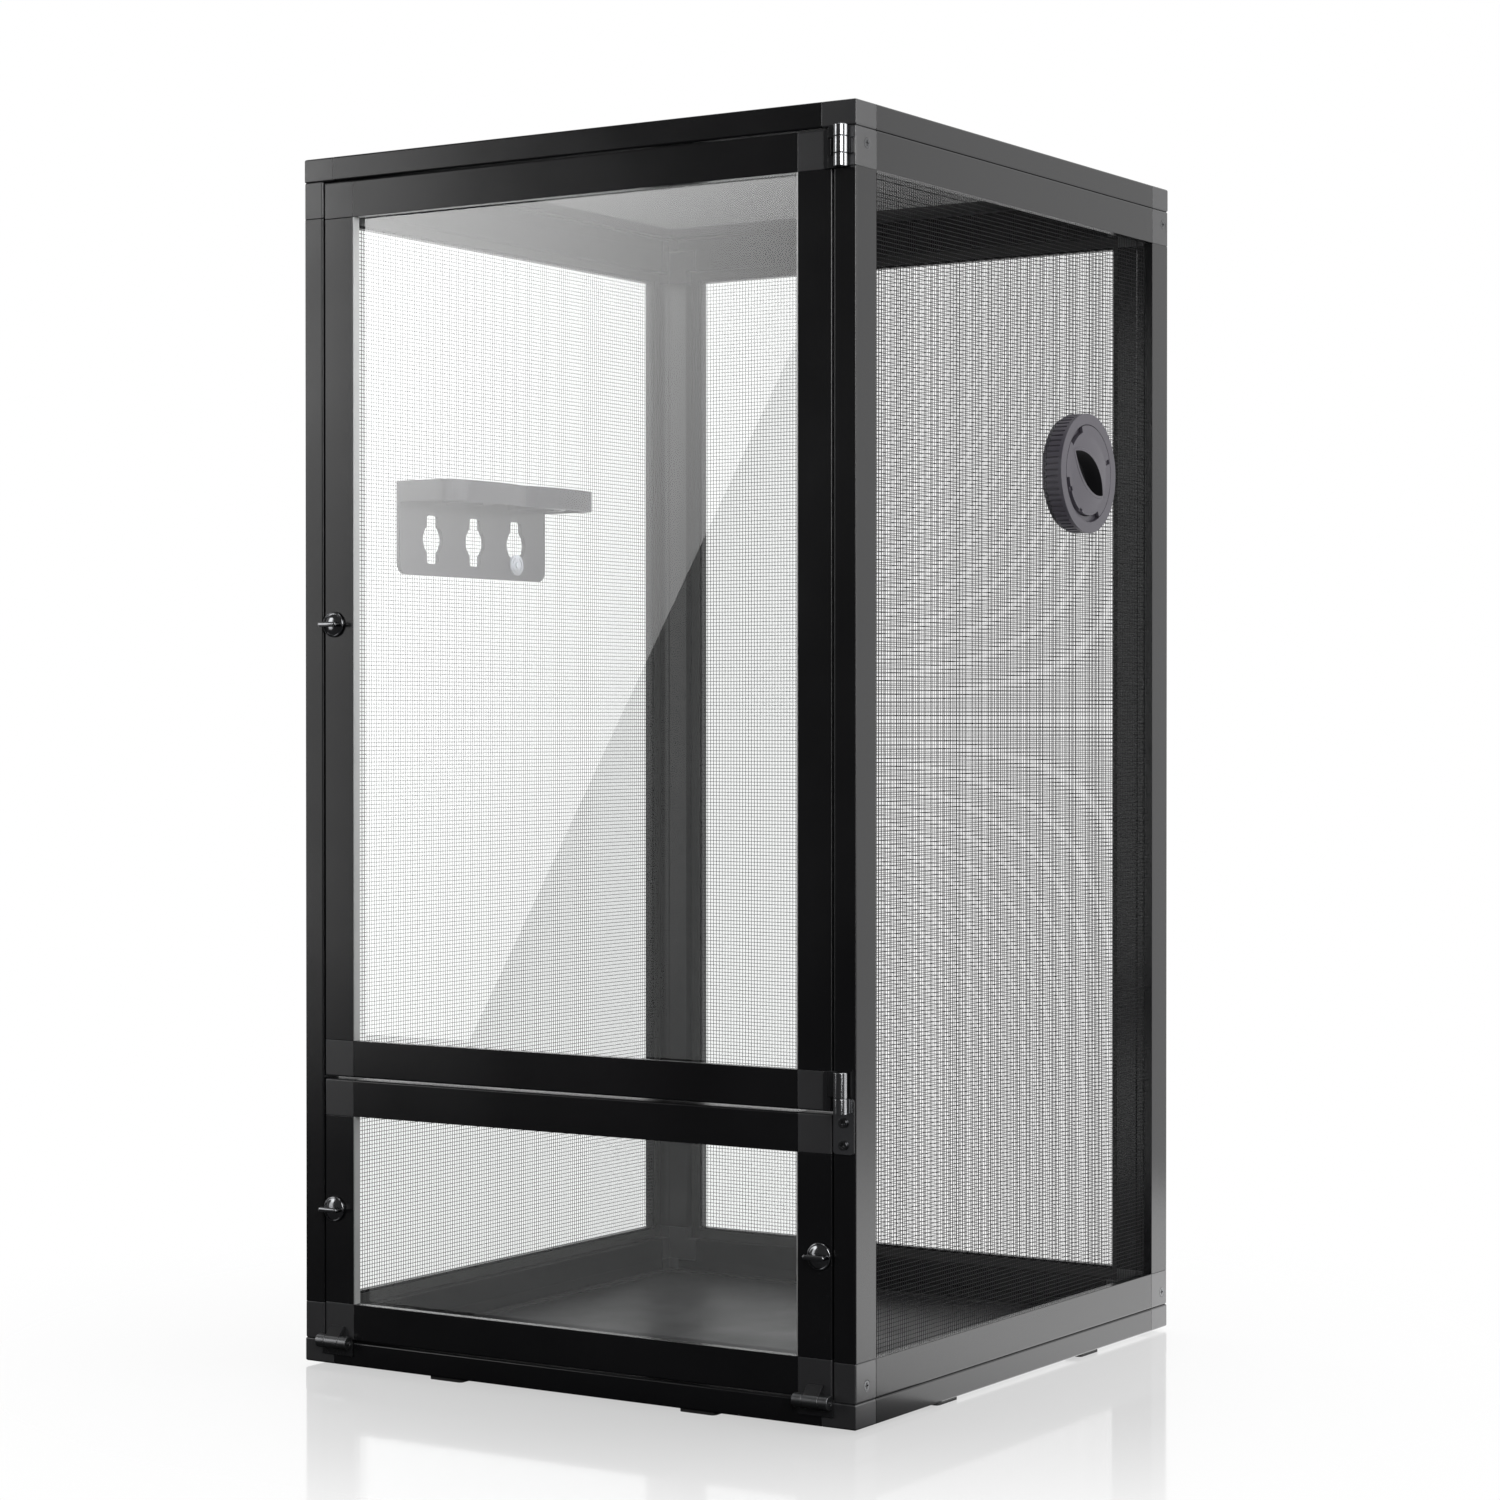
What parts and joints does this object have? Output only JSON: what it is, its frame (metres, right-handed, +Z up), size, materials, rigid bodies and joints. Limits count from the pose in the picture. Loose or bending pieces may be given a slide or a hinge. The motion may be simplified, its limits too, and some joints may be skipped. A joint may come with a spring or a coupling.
{
  "type": "reptile terrarium",
  "caption": "Tall knock-down reptile screen cage: black aluminium frames, screen walls and top, two glazed front doors with turn knobs, a twist-cap cable port and a hanging ledge",
  "frame": {"origin": "middle of the cage's footprint, on the plane the feet stand on; the hinges, knobs and the cable port stand a few millimetres proud of that footprint", "axes": "X to the right as seen from the doors, -Y out of the doors, Z up"},
  "size_m": [0.4131, 0.4147, 0.762],
  "materials": {
    "frame_metal": "satin black powder coat on aluminium",
    "corner_plastic": "fine-grained black moulding",
    "screen": "black coated wire screen",
    "spline_rubber": "matt black",
    "floor_sheet": "smooth black sheet",
    "pane_glass": "clear pane",
    "hinge_metal": "dark polished plating",
    "knob_metal": "dark polished plating",
    "screw_steel": "bright zinc plating",
    "port_plastic": "grey-violet moulding, slight sheen",
    "ledge_plastic": "glossy black moulding",
    "clear_plastic": "clear moulding"
  },
  "bodies": {
    "cage": {"base_front_back_rails": "frame_metal", "base_side_rails": "frame_metal", "base_corners": "corner_plastic", "floor_sheet": "floor_sheet", "floor_spline": "spline_rubber", "feet": "spline_rubber", "left_rails": "frame_metal", "left_stiles": "frame_metal", "left_corners": "corner_plastic", "left_mesh": "screen", "left_spline": "spline_rubber", "right_rails": "frame_metal", "right_stiles": "frame_metal", "right_corners": "corner_plastic", "right_mesh": "screen", "right_spline": "spline_rubber", "back_rails": "frame_metal", "back_stiles": "frame_metal", "back_corners": "corner_plastic", "back_mesh": "screen", "back_spline": "spline_rubber", "top_front_back_rails": "frame_metal", "top_side_rails": "frame_metal", "top_corners": "corner_plastic", "top_mesh": "screen", "top_spline": "spline_rubber", "panel_screws": "screw_steel", "frame_dowels": "screw_steel", "port_flange": "port_plastic", "port_ring": "port_plastic", "ledge": "ledge_plastic", "ledge_fixing": "clear_plastic", "top_hinge_frame_leaf": "hinge_metal", "middle_hinge_frame_leaf": "hinge_metal", "middle_hinge_screws": "screw_steel", "lower_hinge_base_leaves": "hinge_metal", "upper_hinge_pins": "hinge_metal", "lower_hinge_pins": "hinge_metal"},
    "upper_door": {"upper_door_rails": "frame_metal", "upper_door_stiles": "frame_metal", "upper_door_corners": "corner_plastic", "upper_door_pane": "pane_glass", "upper_door_gasket": "spline_rubber", "upper_door_hinge_leaves": "hinge_metal"},
    "upper_knob": {"upper_door_knob": "knob_metal", "upper_door_cam": "knob_metal"},
    "lower_door": {"lower_door_rails": "frame_metal", "lower_door_stiles": "frame_metal", "lower_door_corners": "corner_plastic", "lower_door_pane": "pane_glass", "lower_door_gasket": "spline_rubber", "lower_door_hinge_leaves": "hinge_metal"},
    "left_knob": {"lower_left_knob": "knob_metal", "lower_left_cam": "knob_metal"},
    "right_knob": {"lower_right_knob": "knob_metal", "lower_right_cam": "knob_metal"},
    "cap": {"port_cap": "port_plastic"}
  },
  "joints": [
    {"name": "upper_door_hinge", "type": "hinge", "parent": "cage", "child": "upper_door", "pos_m": [0.1955, -0.2075, 0], "axis": [0, 0, 1], "range_deg": [0, 170]},
    {"name": "lower_door_hinge", "type": "hinge", "parent": "cage", "child": "lower_door", "pos_m": [0, -0.2075, 0.017], "axis": [1, 0, 0], "range_deg": [0, 90]},
    {"name": "upper_knob_turn", "type": "hinge", "parent": "upper_door", "child": "upper_knob", "pos_m": [-0.179, -0.203, 0.468], "axis": [0, 1, 0], "range_deg": [0, 90]},
    {"name": "lower_left_knob_turn", "type": "hinge", "parent": "lower_door", "child": "left_knob", "pos_m": [-0.179, -0.203, 0.1], "axis": [0, 1, 0], "range_deg": [0, 90]},
    {"name": "lower_right_knob_turn", "type": "hinge", "parent": "lower_door", "child": "right_knob", "pos_m": [0.179, -0.203, 0.1], "axis": [0, -1, 0], "range_deg": [0, 90]},
    {"name": "port_cap_twist", "type": "hinge", "parent": "cage", "child": "cap", "pos_m": [0.203, 0.077, 0.565], "axis": [1, 0, 0], "range_deg": [0, 45]}
  ]
}
